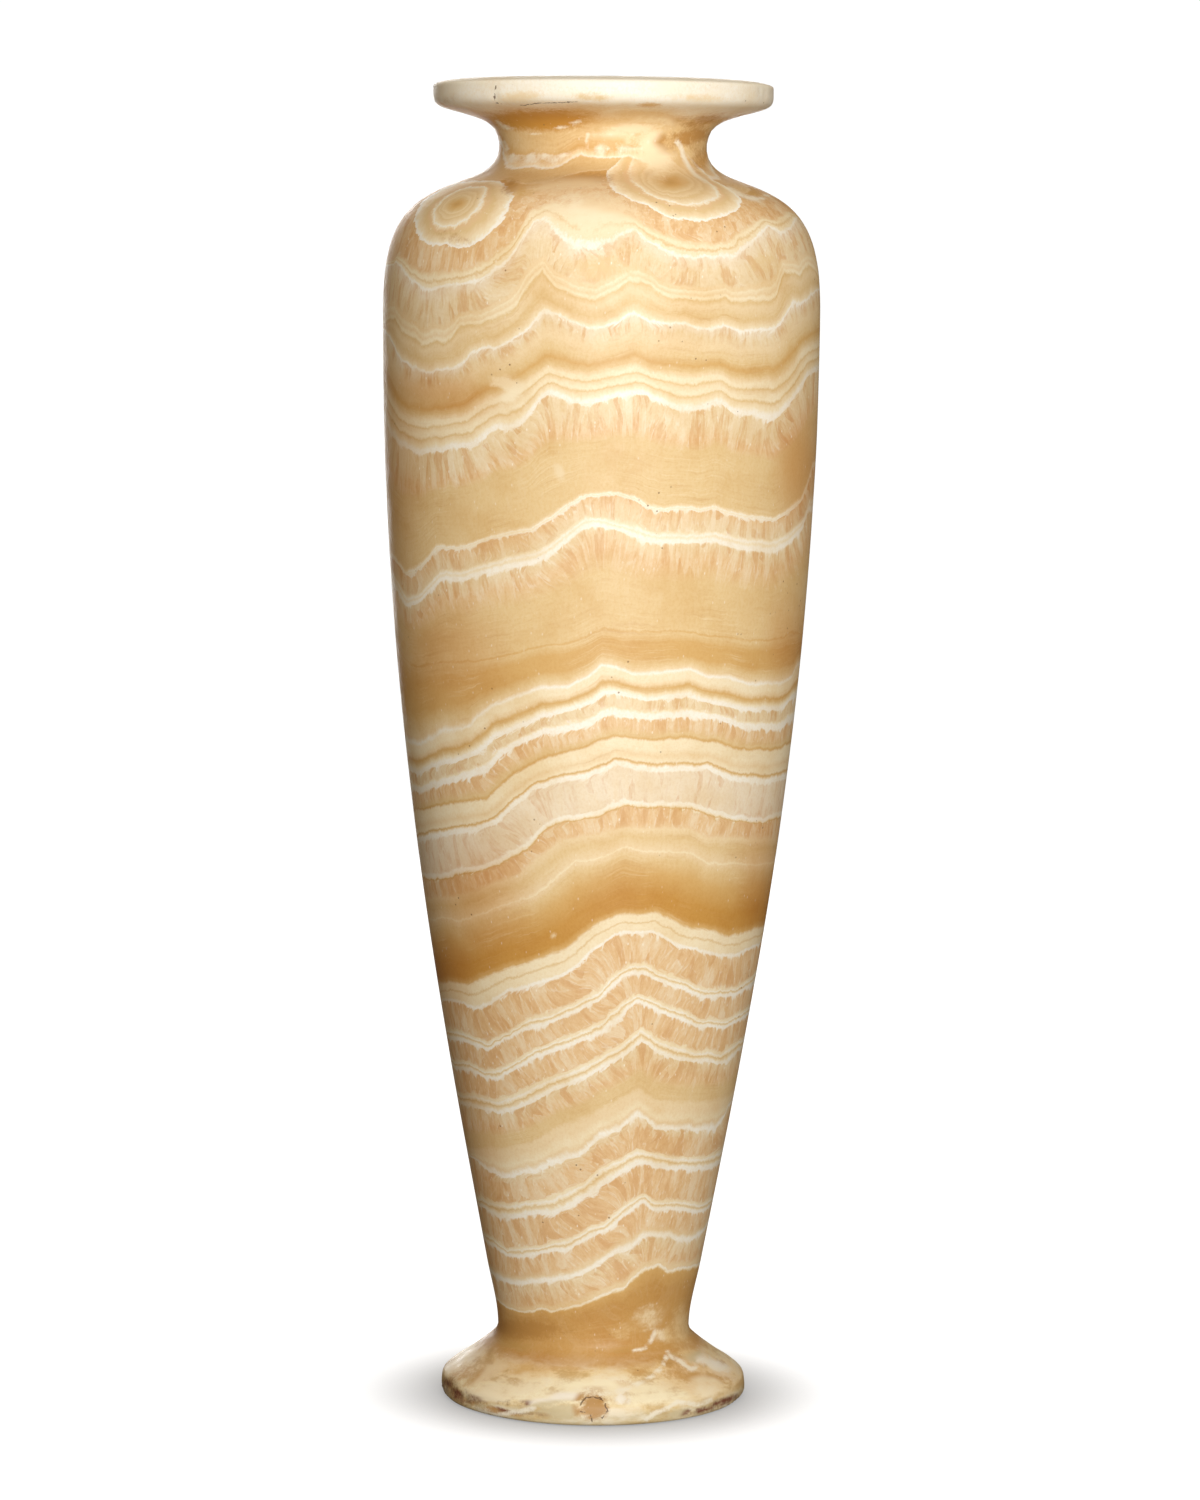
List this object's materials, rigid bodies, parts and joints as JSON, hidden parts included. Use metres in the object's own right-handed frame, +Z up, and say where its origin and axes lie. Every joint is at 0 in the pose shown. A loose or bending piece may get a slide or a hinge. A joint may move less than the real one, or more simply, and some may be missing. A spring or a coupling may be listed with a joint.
{
  "type": "alabaster vase",
  "caption": "Tall footed vase of banded alabaster with a long tapering body, a high round shoulder, a short neck and a wide flat rim, hollow from the mouth down.",
  "frame": {"origin": "centre of the flat underside of the foot, on the surface that the vase stands on", "axes": "+Z up along the vase's axis; -Y towards the side that the picture shows; +X to the right as seen from there"},
  "size_m": [0.1316, 0.1316, 0.4],
  "materials": {
    "alabaster": "smooth ground and softly polished banded calcite, slightly translucent, honey and amber with cream and white wavy bands"
  },
  "bodies": {
    "root": {"vase": "alabaster"}
  },
  "joints": []
}
